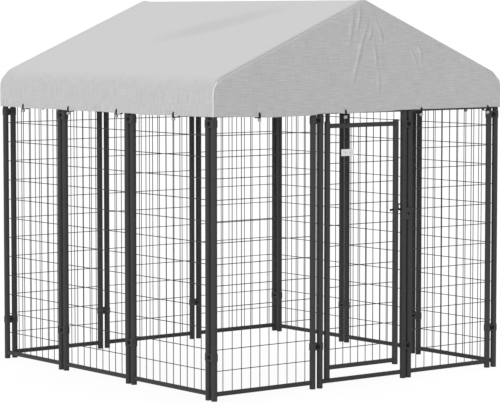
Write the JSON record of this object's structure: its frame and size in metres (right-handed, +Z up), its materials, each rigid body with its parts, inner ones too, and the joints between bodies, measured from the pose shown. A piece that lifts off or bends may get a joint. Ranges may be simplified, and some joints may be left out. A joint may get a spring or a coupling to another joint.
{
  "type": "outdoor dog kennel run",
  "caption": "Square outdoor dog kennel run of clamped tube and wire mesh panels, with a hinged mesh door, sliding latch and pale gable canopy.",
  "frame": {"origin": "on the ground, in the middle of the run", "axes": "+Z up, -Y out of the front with the door, +X to the right along the front as seen from outside"},
  "size_m": [1.8526, 1.8526, 1.8672],
  "materials": {
    "frame_paint": "satin charcoal powder coat on steel",
    "black_plastic": "black moulded plastic",
    "black_steel": "blackened steel",
    "pale_plastic": "pale grey moulded plastic",
    "zinc": "zinc plated steel",
    "canopy_cloth": "pale grey coated woven cloth",
    "elastic_cord": "black braided elastic cord",
    "ball_plastic": "grey moulded plastic",
    "white_plate": "bare white plate"
  },
  "bodies": {
    "kennel": {"panel_front_left": "frame_paint", "door_surround": "frame_paint", "panel_front_right": "frame_paint", "panel_right_front": "frame_paint", "panel_right_middle": "frame_paint", "panel_right_rear": "frame_paint", "panel_rear_right": "frame_paint", "panel_rear_middle": "frame_paint", "panel_rear_left": "frame_paint", "panel_left_rear": "frame_paint", "panel_left_middle": "frame_paint", "panel_left_front": "frame_paint", "mesh_front_left": "frame_paint", "mesh_front_right": "frame_paint", "mesh_right_front": "frame_paint", "mesh_right_middle": "frame_paint", "mesh_right_rear": "frame_paint", "mesh_rear_right": "frame_paint", "mesh_rear_middle": "frame_paint", "mesh_rear_left": "frame_paint", "mesh_left_rear": "frame_paint", "mesh_left_middle": "frame_paint", "mesh_left_front": "frame_paint", "post_feet": "black_plastic", "post_caps": "black_plastic", "clamp_plates_outer": "frame_paint", "clamp_plates_inner": "frame_paint", "clamp_bolts": "black_steel", "clamp_nuts": "black_steel", "hinge_saddle": "black_plastic", "latch_keeper": "frame_paint", "keeper_bolt": "black_steel", "keeper_nut": "black_steel", "rafter_front_left": "frame_paint", "rafter_front_right": "frame_paint", "rafter_rear_left": "frame_paint", "rafter_rear_right": "frame_paint", "apex_connector_front": "black_plastic", "apex_connector_rear": "black_plastic", "ridge_tube": "frame_paint", "eave_tube_left": "frame_paint", "eave_tube_right": "frame_paint", "leg_collars": "black_plastic", "canopy": "canopy_cloth", "grommets": "pale_plastic", "bungee_loops": "elastic_cord", "bungee_balls": "ball_plastic"},
    "door": {"door_frame": "frame_paint", "door_mesh": "frame_paint", "stile_plugs": "black_plastic", "hinge_pin_top": "frame_paint", "hinge_pin_bottom": "frame_paint", "name_plate": "white_plate", "plate_strip": "white_plate", "plate_screws": "zinc"},
    "latch": {"latch_bolt": "black_steel"}
  },
  "joints": [
    {"name": "door_hinge", "type": "hinge", "parent": "kennel", "child": "door", "pos_m": [-0.214, -0.897, 0.7], "axis": [0, 0, -1], "range_deg": [0, 140]},
    {"name": "latch_slide", "type": "slide", "parent": "door", "child": "latch", "axis": [1, 0, 0], "range_m": [0, 0.0085]}
  ]
}
